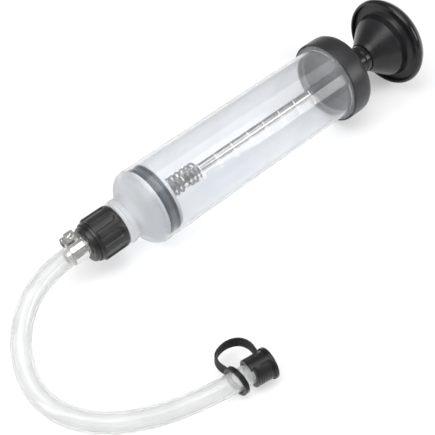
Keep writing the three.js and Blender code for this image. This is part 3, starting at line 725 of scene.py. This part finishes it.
def add_rod_guide():
    """A flanged bushing in the end cap, with a lipped wiper in its front."""
    pocket_r, flange_r, flange_rear = 6.6, 11, CAP_REAR + 2.5
    bushing = turned("rod_guide", [
        (BUSHING_SEAT, pocket_r),
        (BUSHING_SEAT, BUSHING_R),
        (CAP_REAR - 0.3, BUSHING_R),
        (CAP_REAR - 0.3, flange_r, 0.4),
        (flange_rear, flange_r, 1.1),
        (flange_rear, pocket_r, 0.3),
        (flange_rear - 1.4, ROD_HOLE_R, 0.5),
        (WIPER_SEAT, ROD_HOLE_R),
        (WIPER_SEAT, pocket_r),
    ], GLOSS)
    place(bushing, "barrel", "black_gloss", "rod_bushing")
    front, rear = BUSHING_SEAT + 0.3, WIPER_SEAT - 0.3
    wiper = turned("rod_wiper", [
        (front, ROD_HOLE_R, 0.4),
        (front, pocket_r - 0.3),
        (rear, pocket_r - 0.3),
        (rear, ROD_HOLE_R, 0.4),
        ((front + rear) / 2, ROD_HOLE_R + 0.4, 0.8),
    ], RUBBER)
    place(wiper, "barrel", "black_rubber", "rod_seal")


# ------------------------------------------------------------ nozzle and its nut
def fluted(station, radius, angle):
    """Eight flutes: open at the front, with a round rear end."""
    if radius <= FLUTE_FLOOR_R or station > UNION_REAR - 1:
        return radius
    pitch = 2 * math.pi / FLUTES
    turn = (angle + FLUTE_TURN + pitch / 2) % pitch - pitch / 2
    across = turn * UNION_R
    along = max(0, station - (FLUTE_REAR - FLUTE_HALF_WIDTH))
    inside = FLUTE_HALF_WIDTH - math.hypot(across, along)
    flank_width, flank_start = 1.0, 0.3
    share = min(1, max(0, inside / flank_width + flank_start))
    share = share * share * (3 - 2 * share)
    return radius + (FLUTE_FLOOR_R - radius) * share


def add_union_nut():
    """The fluted nut that holds the nozzle's base to the neck, with a bead round its front."""
    start, end, steps = UNION_REAR - 2, UNION_FRONT + 4.4, 60
    fluted_side = [(start + (end - start) * k / steps, UNION_R, 0) for k in range(steps + 1)]
    thread_r, lip_r = NECK_R + 0.4, 15.6
    nut = turned("union_nut_shell", [
        (UNION_REAR, thread_r),
        (UNION_REAR, UNION_R - 1.4, 0.4),
        (UNION_REAR - 0.9, UNION_R - 0.5, 0.5),
        *fluted_side,
        (UNION_FRONT + 3.6, UNION_R - 0.3, 0.4),
        (UNION_FRONT + 3.1, UNION_R - 1.9, 0.3),
        (UNION_FRONT + 2.3, UNION_R - 1.9, 0.3),
        (UNION_FRONT + 2.0, UNION_R - 1.5, 0.3),
        (UNION_FRONT, UNION_R - 2.0, 0.9),
        (UNION_FRONT, lip_r, 0.3),
        (UNION_FRONT + 2.5, lip_r),
        (UNION_FRONT + 2.5, thread_r),
    ], SATIN, segments=384, shape=fluted, sharp_degrees=60)
    place(nut, "union_nut", "black_moulding", "union_nut")


def add_nozzle_base():
    """A black base that the nut holds, with a counterbored front face round the pipe."""
    pipe_hole_r, rear_hole_r = BARB_R + 0.3, BARB_BORE_R + 0.4
    base = turned("nozzle_base", [
        (NOZZLE_REAR, rear_hole_r),
        (NOZZLE_REAR, NECK_R - 0.2),
        (UNION_FRONT + 2.8, NECK_R - 0.2),
        (UNION_FRONT + 2.8, NOZZLE_BOSS_R, 0.2),
        (NOZZLE_FACE, NOZZLE_BOSS_R, 2.4),
        (NOZZLE_FACE, 8.6, 0.3),
        (NOZZLE_FACE + 0.6, 8.4, 0.2),
        (NOZZLE_FACE + 0.6, pipe_hole_r),
        (NOZZLE_REAR - 0.8, pipe_hole_r),
        (NOZZLE_REAR - 0.8, rear_hole_r),
    ], SATIN, segments=128)
    place(base, "barrel", "black_moulding", "nozzle_flange")


def add_barb_pipe():
    """A bright pipe with three barbs under the hose."""
    barbs, rear = 3, NOZZLE_REAR - 1.1
    pitch = (NOZZLE_FACE - BARB_END) / barbs
    outline = []
    for i in range(barbs):
        crest = NOZZLE_FACE - pitch * (i + 0.25)
        outline += [
            (crest, BARB_R, 0.2),
            (crest - 0.2, BARB_CREST_R, 0.3),
            (crest - pitch * 0.7, BARB_R, 0.8),
        ]
    pipe = turned("barb_pipe", [
        (rear, BARB_BORE_R),
        (rear, BARB_R),
        *outline,
        (BARB_END, BARB_R - 0.4, 0.5),
        (BARB_END, BARB_BORE_R, 0.3),
    ], STEEL)
    place(pipe, "barrel", "bright_steel", "barb_tube")


def add_nozzle_seal():
    """The rubber ring between the barrel's neck and the nozzle's base."""
    front, rear = NOZZLE_REAR + 0.3, NOZZLE_REAR + 1.8
    outline = flat_ring(front, rear, NECK_BORE_R + 0.3, NECK_R - 0.6, 0.5, 0.5)
    place(turned("nozzle_seal_ring", outline, RUBBER), "barrel", "black_rubber", "nozzle_gasket")


add_barrel()
add_scale()
add_end_cap()
add_rod_guide()
add_union_nut()
add_nozzle_base()
add_barb_pipe()
add_nozzle_seal()


# ------------------------------------------------------------------ hose clamp
def clamp_line():
    """The strip's middle line, (y, z): down one ear, round the hose and up the other."""
    bend_angle = 0.05
    gap_angle = math.asin(CLAMP_EAR_MIDDLE / CLAMP_BAND_R) + bend_angle
    ear = [(CLAMP_EAR_MIDDLE, CLAMP_EAR_HEIGHT - CLAMP_EAR_STEP * k) for k in range(CLAMP_EAR_STEPS)]
    bend = [(CLAMP_EAR_MIDDLE - 0.02, 9.2), (CLAMP_EAR_MIDDLE - 0.15, 8.55)]
    steps = 72
    arc = []
    for k in range(steps + 1):
        angle = gap_angle + 2 * (math.pi - gap_angle) * k / steps
        arc.append((CLAMP_BAND_R * math.sin(angle), CLAMP_BAND_R * math.cos(angle)))
    other_side = [(-y, z) for y, z in (ear + bend)[::-1]]
    return [Vector(point) for point in ear + bend + arc + other_side]


def strip_section(half_width):
    """(across the band, through it) for a flat strip with softened edges."""
    half, edge = CLAMP_THICKNESS / 2, 0.25
    return [
        (-half_width, edge - half),
        (edge - half_width, -half),
        (half_width - edge, -half),
        (half_width, edge - half),
        (half_width, half - edge),
        (half_width - edge, half),
        (edge - half_width, half),
        (-half_width, half - edge),
    ]


def add_clamp():
    """A bent strip with two ears, whose top corners are rounded."""
    line = clamp_line()
    ear_points = CLAMP_EAR_STEPS + 3
    rings = []
    for i, point in enumerate(line):
        heading = (line[min(i + 1, len(line) - 1)] - line[max(i - 1, 0)]).normalized()
        normal = Vector((-heading.y, heading.x))
        on_ear = i < ear_points or i >= len(line) - ear_points
        below_top = CLAMP_EAR_HEIGHT - point.y if on_ear else CLAMP_EAR_HEIGHT
        into_corner = max(0, CLAMP_CORNER - below_top)
        cut = CLAMP_CORNER - math.sqrt(max(0, CLAMP_CORNER ** 2 - into_corner ** 2))
        ring = []
        for across, through in strip_section(CLAMP_WIDTH / 2 - cut):
            y, z = point + normal * through
            ring.append(CLAMP @ Vector((across, y, z)))
        rings.append(ring)
    band = skin("hose_clamp_band", rings, False, STEEL)
    place(band, "barrel", "bright_steel", "clamp_band")


def across_clamp():
    """A frame whose X axis is the clamp screw's, with its origin between the ears."""
    lift = Matrix.Translation((0, 0, CLAMP_SCREW_HEIGHT))
    return CLAMP @ lift @ Matrix.Rotation(math.pi / 2, 4, "Z")


def add_clamp_screw():
    """A cheese-head screw with a slot across its head."""
    screw_frame = across_clamp()
    head_top = SCREW_SEAT + 3
    thread_end, thread_pitch, thread_depth = 3.5, 0.8, 0.16
    shank_length, point_r = 17, 1.6
    step, steps = thread_pitch / 5, 103

    def threaded(station, radius, angle):
        if station > thread_end or radius < SCREW_R - 0.3:
            return radius
        return radius - thread_depth + thread_depth * math.cos(2 * math.pi * station / thread_pitch + angle)

    shank = [(SCREW_SEAT - 0.1 - step * k, SCREW_R, 0) for k in range(steps)]
    screw = turned("clamp_screw_slotted", [
        (head_top, 0),
        (head_top, SCREW_HEAD_R - 0.9, 0.7),
        (SCREW_SEAT + 2.2, SCREW_HEAD_R, 0.5),
        (SCREW_SEAT, SCREW_HEAD_R, 0.3),
        (SCREW_SEAT, SCREW_R, 0.1),
        *shank,
        (SCREW_SEAT - shank_length, point_r, 0.3),
        (SCREW_SEAT - shank_length, 0),
    ], STEEL, matrix=screw_frame, segments=48, shape=threaded)
    slot_depth, slot_width, slot_length = 1.3, 1.1, 10
    slot = bmesh.new()
    add_box(slot, screw_frame, (head_top, 0, 0), (2 * slot_depth, slot_width, slot_length))
    cut_away(screw, slot)
    place(screw, "clamp_screw", "bright_steel", "clamp_screw")


def add_clamp_nut():
    """A square nut with rounded corners."""
    thickness, flats, hole_r = 3.8, 8, 2.5
    middle = -SCREW_SEAT - thickness / 2
    bm = bmesh.new()
    add_box(bm, across_clamp(), (middle, 0, 0), (thickness, flats, flats))
    bmesh.ops.bevel(bm, geom=bm.edges, offset=0.6 * MM, segments=3, affect="EDGES")
    nut = finish_mesh("clamp_square_nut", bm, STEEL)
    along_screw = Matrix.Translation((middle, 0, 0)) @ Matrix.Rotation(math.pi / 2, 4, "Y")
    hole = bmesh.new()
    bmesh.ops.create_cone(hole, cap_ends=True, segments=40, radius1=hole_r, radius2=hole_r, depth=10,
                          matrix=across_clamp() @ along_screw)
    cut_away(nut, hole)
    place(nut, "barrel", "bright_steel", "clamp_nut")


add_clamp()
add_clamp_screw()
add_clamp_nut()


# ----------------------------------------------------------- tether and dust cap
def add_tether_ring():
    """A stout ring round the hose, with two grooves, sitting a little askew."""
    half, bore = 1.9, 8.9
    groove_half_width, groove_depth = 0.45, 0.7
    grooves = []
    for middle in (-0.7, 0.7):
        grooves += [
            (middle - groove_half_width, RING_R, 0.2),
            (middle, RING_R - groove_depth, 0.25),
            (middle + groove_half_width, RING_R, 0.2),
        ]
    seat = TIP @ Matrix.Translation((RING_STATION, 0, 0)) @ Matrix.Rotation(RING_SKEW, 4, "Z")
    ring = turned("tether_ring_moulding", [
        (-half, bore, 0.5),
        (-half, RING_R, 0.5),
        *grooves,
        (half, RING_R, 0.5),
        (half, bore, 0.5),
    ], MOULDED, matrix=seat)
    return place(ring, "barrel", "black_moulding", "tether_ring")


def strap_path():
    """From inside the ring, in a loop beside the hose, to inside the dust cap's wall."""
    root = 10.4
    ring_root = (RING_STATION - root * math.sin(RING_SKEW), root * math.cos(RING_SKEW), 0)
    loop = [
        (-6.6, 18, 0),
        (-4.8, 24.6, 0),
        (2.4, 28.8, 0),
        (11, 29.2, 0),
        (18, 26, 0),
        (21.6, 19.8, 0),
        (21.8, 10.1, 0),
    ]
    return [TIP @ point for point in smooth_path([ring_root, *loop], per_span=8)]


def strap_section():
    """(through the ribbon, up its width) in metres, ribbed along both faces."""
    half_width, half_thickness, rib_height, ribs, steps = 5.25, 0.95, 0.3, 8, 56
    face = []
    for k in range(steps + 1):
        height = half_width * (2 * k / steps - 1)
        round_off = math.sqrt(max(0, 1 - (height / half_width) ** 12))
        ridge = rib_height / 2 * math.cos(ribs * math.pi * height / half_width)
        face.append(((half_thickness - rib_height / 2 + ridge) * round_off, height))
    other_face = [(-a, b) for a, b in face[-2:0:-1]]
    return [(a * MM, b * MM) for a, b in face + other_face]


def add_tether_strap():
    """A ribbed ribbon on edge, from the ring round to the dust cap's side."""
    rings = section_rings(frames_along(strap_path(), (0, 0, 1)), strap_section())
    strap = skin("tether_strap_ribbon", rings, False, MOULDED, sharp_degrees=60)
    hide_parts("tether_strap")
    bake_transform(strap)
    return strap


def ringed(station, radius, angle):
    """Grip rings round the dust cap's lower side."""
    first_ring, last_ring = 10, DUST_CAP_FLANGE - 0.6
    first_angle, last_angle = 200, 345
    pitch, depth = 1.9, 0.28
    first_fade, last_fade = 12, 4
    around = math.degrees(angle + GRIP_SLOT_LEAN) % 360
    if radius < DUST_CAP_R - 0.3 or not first_ring < station < last_ring:
        return radius
    if not first_angle < around < last_angle:
        return radius
    fade = min(1, (around - first_angle) / first_fade, (last_angle - around) / last_fade)
    return radius - fade * depth * (0.5 + 0.5 * math.cos(2 * math.pi * station / pitch))


def cut_grip_slots(cap, leaning):
    """Two slots in line along the cap's top, one at the mouth and one at the flange."""
    slot_width, slot_height = 3.5, 3.4
    slots = [
        (DUST_CAP_MOUTH - 1, DUST_CAP_MOUTH + 4),
        (DUST_CAP_FLANGE - 8.5, DUST_CAP_FLANGE - 0.5),
    ]
    for start, end in slots:
        cutter = bmesh.new()
        middle = ((start + end) / 2, 0, DUST_CAP_R + 0.3)
        add_box(cutter, leaning, middle, (end - start, slot_width, slot_height))
        bmesh.ops.bevel(cutter, geom=cutter.edges, offset=0.5 * MM, segments=3, affect="EDGES")
        cut_away(cap, cutter)


def cut_low_mouth(cap, leaning):
    """Sets the ringed side's mouth back from the smooth side's."""
    reach = 2 * (DUST_CAP_LOW_MOUTH - DUST_CAP_MOUTH)
    side_length = 3 * DUST_CAP_R
    cutter = bmesh.new()
    add_box(cutter, leaning, (DUST_CAP_MOUTH, -side_length / 2, 0), (reach, side_length, side_length))
    cut_away(cap, cutter)


def add_dust_cap():
    """A cup with a flange. One side is smooth and reaches further over the hose; the other
    is ringed for grip, and two slots part them."""
    wall_start, step, steps = 10, 0.2, 64
    wall = [(wall_start + step * k, DUST_CAP_R, 0) for k in range(steps)]
    floor, dimple_r = 22.4, 9.2
    cap = turned("dust_cap_moulding", [
        (DUST_CAP_MOUTH, DUST_CAP_BORE_R, 0.4),
        (DUST_CAP_MOUTH, DUST_CAP_R, 0.8),
        *wall,
        (DUST_CAP_FLANGE, DUST_CAP_R, 0.2),
        (DUST_CAP_FLANGE, DUST_CAP_FLANGE_R, 0.4),
        (TIP_FACE_STATION, DUST_CAP_FLANGE_R, 0.8),
        (TIP_FACE_STATION, dimple_r + 0.4, 0.4),
        (TIP_FACE_STATION - 0.4, dimple_r, 0.4),
        (TIP_FACE_STATION - 0.4, 0),
        (floor, 0),
        (floor, DUST_CAP_BORE_R, 0.8),
    ], MOULDED, matrix=TIP, segments=160, shape=ringed)
    leaning = TIP @ Matrix.Rotation(GRIP_SLOT_LEAN, 4, "X")
    cut_grip_slots(cap, leaning)
    cut_low_mouth(cap, leaning)
    return place(cap, "dust_cap", "black_moulding", "dust_cap")


ring = add_tether_ring()
strap = add_tether_strap()
dust_cap = add_dust_cap()


# ------------------------------------------------------------------ the plunger
def ride_on_plunger(name, outline, material, slot, node, **options):
    """A turned piece that moves with the plunger."""
    place(turned(name, outline, material, **options), "plunger", slot, node)


def add_piston():
    """Pale discs on the rod, with two lipped seals and a dark ring between them."""
    hub_r = 22
    ride_on_plunger("piston_front", [
        (7.1, ROD_HOLE_R),
        (7.1, 10.4, 0.3),
        (6.6, 11, 0.4),
        (6.6, 26.4, 0.6),
        (7.3, PISTON_R, 0.5),
        (9.3, PISTON_R, 0.4),
        (9.3, hub_r),
        (18.9, hub_r),
        (18.9, ROD_HOLE_R),
    ], NYLON, "pale_nylon", "piston_head")
    for name, start, node in (
        ("front_seal", 9.6, "piston_seal_front"),
        ("rear_seal", 16.5, "piston_seal_rear"),
    ):
        ride_on_plunger(name, [
            (start, SEAL_ROOT_R),
            (start, SEAL_LIP_R - 1.2, 0.3),
            (start + 0.7, SEAL_LIP_R, 0.4),
            (start + 1.7, SEAL_LIP_R, 0.4),
            (start + 2.4, SEAL_LIP_R - 1.2, 0.3),
            (start + 2.4, SEAL_ROOT_R),
        ], RUBBER, "black_rubber", node, segments=128)
    ride_on_plunger("piston_mid_ring", [
        (12.3, SEAL_ROOT_R),
        (12.3, PISTON_R, 0.5),
        (14, PISTON_R - 0.6, 0.5),
        (16.2, PISTON_R, 0.5),
        (16.2, SEAL_ROOT_R),
    ], SLATE, "black_rubber", "piston_spacer")
    ride_on_plunger("piston_rear_ring", [
        (19.2, ROD_HOLE_R),
        (19.2, PISTON_R, 0.5),
        (22, PISTON_R, 0.7),
        (22, ROD_HOLE_R),
    ], NYLON, "pale_nylon", "piston_back_plate")


def add_piston_fixings():
    """The screw and washer on the piston's face, and the washer that the spring sits on."""
    screw_hole_r, screw_r, screw_end = 3.3, 3, 20
    washer = flat_ring(5.3, 6.8, screw_hole_r, 10, 0.4)
    ride_on_plunger("piston_face_washer", washer, STEEL, "bright_steel", "piston_washer")
    ride_on_plunger("piston_face_screw", [
        (1.6, 0),
        (1.6, 4.6, 0.8),
        (2.4, 5.8, 0.8),
        (5, 5.8),
        (5, screw_r),
        (screw_end, screw_r),
        (screw_end, 0),
    ], STEEL, "bright_steel", "piston_screw")
    spring_washer = flat_ring(27.6, 29.1, ROD_HOLE_R, 9.2, 0.4)
    ride_on_plunger("spring_washer", spring_washer, STEEL, "bright_steel", "spring_seat")


def add_hex_nut(name, start, length, flats, node):
    """A hexagon nut, chamfered at both faces."""
    corner_r = flats / math.sqrt(3)

    def six_sided(station, radius, angle):
        if radius < flats / 2 - 1:
            return radius
        turn = (angle + math.pi / 6) % (math.pi / 3) - math.pi / 6
        return min(radius, flats / 2 / math.cos(turn))

    ride_on_plunger(name, [
        (start, ROD_HOLE_R, 0.3),
        (start, flats / 2 - 0.3, 0.2),
        (start + 0.8, corner_r, 0.1),
        (start + length - 0.8, corner_r, 0.1),
        (start + length, flats / 2 - 0.3, 0.2),
        (start + length, ROD_HOLE_R, 0.3),
    ], STEEL, "bright_steel", node, segments=120, shape=six_sided, sharp_degrees=25)


def add_spring():
    """Round wire, with its end turns closed up."""
    start, length, turns, radius, wire_r = 30.45, 30, 6.5, 7.7, 1.05
    closing, steps = 0.18, 240
    path = []
    for k in range(steps + 1):
        t = k / steps
        eased = t - closing * math.sin(2 * math.pi * t) / (2 * math.pi)
        angle = 2 * math.pi * turns * t
        point = Vector((start + length * eased, radius * math.cos(angle), radius * math.sin(angle)))
        path.append(PUMP @ point)
    rings = section_rings(frames_along(path, pump_axis), circle(wire_r * MM, 12))
    spring = skin("return_spring", rings, False, SPRING_STEEL)
    place(spring, "plunger", "spring_steel", "buffer_spring")


def add_rod():
    """A plain rod, bored at its front for the piston's screw."""
    front, bore_r, bore_end = 7, 3.3, 21
    ride_on_plunger("plunger_shaft", [
        (front, bore_r),
        (front, ROD_R, 0.3),
        (ROD_END, ROD_R, 0.6),
        (ROD_END, 0),
        (bore_end, 0),
        (bore_end, bore_r),
    ], ROD_STEEL, "bright_steel", "plunger_rod")


def add_knob_collar():
    """A polished collar on the rod, with a groove towards the cone."""
    front, rear = 238, KNOB_FRONT - 0.3
    ride_on_plunger("knob_collar", [
        (front, ROD_HOLE_R),
        (front, COLLAR_R - 1, 1.4),
        (front + 2, COLLAR_R, 1),
        (252, COLLAR_R, 0.3),
        (252.6, COLLAR_R - 0.7, 0.3),
        (253.4, COLLAR_R, 0.3),
        (rear, COLLAR_R, 0.4),
        (rear, ROD_HOLE_R),
    ], GLOSS, "black_gloss", "knob_ferrule")


def add_knob_cone():
    """A hollow cone that widens into the recess behind the knob's rim."""
    floor_r, plate_rear = 37.6, RECESS_FLOOR + 2.4
    ride_on_plunger("knob_cone", [
        (KNOB_FRONT, ROD_HOLE_R),
        (KNOB_FRONT, 13.3, 0.8),
        (KNOB_FRONT + 3, 14.5, 2),
        (CONE_EDGE - 0.5, CONE_EDGE_R - 0.2, 0.4),
        (CONE_EDGE + 0.3, CONE_EDGE_R - 0.1, 0.3),
        (CONE_EDGE + 1, CONE_EDGE_R - 0.5, 0.4),
        (RECESS_FLOOR - 3, CONE_EDGE_R, 2),
        (RECESS_FLOOR, CONE_EDGE_R + 3, 3),
        (RECESS_FLOOR, floor_r, 0.3),
        (plate_rear, floor_r),
        (plate_rear, CONE_EDGE_R + 1, 1),
        (RECESS_FLOOR - 2, CONE_EDGE_R - 2.5, 1),
        (CONE_EDGE + 2, CONE_EDGE_R - 4, 1),
        (278, 18, 1),
        (277, 16, 0.5),
        (277, ROD_HOLE_R),
    ], CONE_BLACK, "black_moulding", "knob_hub", segments=128)


def add_knob_cover():
    """The knob's polished rim and its domed back, one hollow moulding."""
    ride_on_plunger("knob_palm_cover", [
        (KNOB_RIM - 3.2, KNOB_R - 3, 0.5),
        (KNOB_RIM - 3.2, KNOB_R - 1.2, 0.8),
        (KNOB_RIM - 1, KNOB_R, 1.3),
        (KNOB_RIM + 1.5, KNOB_R, 2),
        (KNOB_RIM + 7, 38.2, 3),
        (KNOB_RIM + 12, 31.2, 4.5),
        (KNOB_RIM + 15.4, 21, 5),
        (KNOB_RIM + 17.1, 10, 5),
        (KNOB_BACK, 3.5, 3),
        (KNOB_BACK, 0),
        (KNOB_BACK - 2.4, 0),
        (KNOB_RIM + 14.5, 10, 5),
        (KNOB_RIM + 12.6, 20.6, 5),
        (KNOB_RIM + 9.4, 29.8, 4),
        (KNOB_RIM + 5.6, 35.8, 2),
        (KNOB_RIM + 4.4, KNOB_R - 3, 0.4),
    ], GLOSS, "black_gloss", "knob_cover", segments=160)


add_piston()
add_piston_fixings()
add_hex_nut("piston_hex_nut", 22.3, 5, 13, "piston_lock_nut")
add_spring()
add_rod()
add_hex_nut("knob_hex_nut", 277.3, 6, 13, "knob_nut")
add_knob_collar()
add_knob_cone()
add_knob_cover()


# ------------------------------------------------------------ floor and lights
def add_floor():
    """A matt white studio floor."""
    half_width_m = 8
    bm = bmesh.new()
    bmesh.ops.create_grid(bm, x_segments=2, y_segments=2, size=half_width_m)
    material = new_material("studio_floor", Roughness=0.7, Specular_IOR_Level=0.2)
    speck = texture(material, "ShaderNodeTexNoise", Scale=0.01, Detail=2)
    drive(material, "Base Color", tint(material, speck, (0.90, 0.90, 0.905), (0.92, 0.92, 0.922)))
    floor = finish_mesh("floor", bm, material)


def add_lamp(name, place_at, aim, size, power):
    """A softbox of this size in metres and power in watts, facing aim."""
    data = bpy.data.lights.new(name, "AREA")
    data.shape = "RECTANGLE"
    data.size, data.size_y = size
    data.energy = power
    lamp = bpy.data.objects.new(name, data)
    lamp.location = place_at
    lamp.rotation_euler = (Vector(place_at) - Vector(aim)).to_track_quat("Z", "Y").to_euler()
    bpy.context.scene.collection.objects.link(lamp)


def add_light():
    """An even studio, with softboxes above, left and right, and a shadowless fill that
    keeps the floor white."""
    sky, fill, fill_angle = 0.36, 1.45, math.radians(60)
    world = bpy.data.worlds.new("studio")
    world.use_nodes = True
    background = world.node_tree.nodes["Background"]
    background.inputs["Color"].default_value = (1, 1, 1, 1)
    background.inputs["Strength"].default_value = sky
    bpy.context.scene.world = world
    add_lamp("top_softbox", (-0.5, -0.1, 1.5), (0, 0, 0), (0.9, 0.9), 6)
    add_lamp("left_softbox", (-1.3, 0.2, 0.8), (0, 0, 0), (0.4, 1.2), 5)
    add_lamp("right_softbox", (0.8, -1.1, 0.8), (0.05, 0, 0), (0.7, 0.7), 7)
    data = bpy.data.lights.new("floor_fill", "SUN")
    data.energy = fill
    data.angle = fill_angle
    data.use_shadow = False
    bpy.context.scene.collection.objects.link(bpy.data.objects.new("floor_fill", data))
    bpy.context.scene.view_settings.view_transform = "Standard"


add_floor()
add_light()
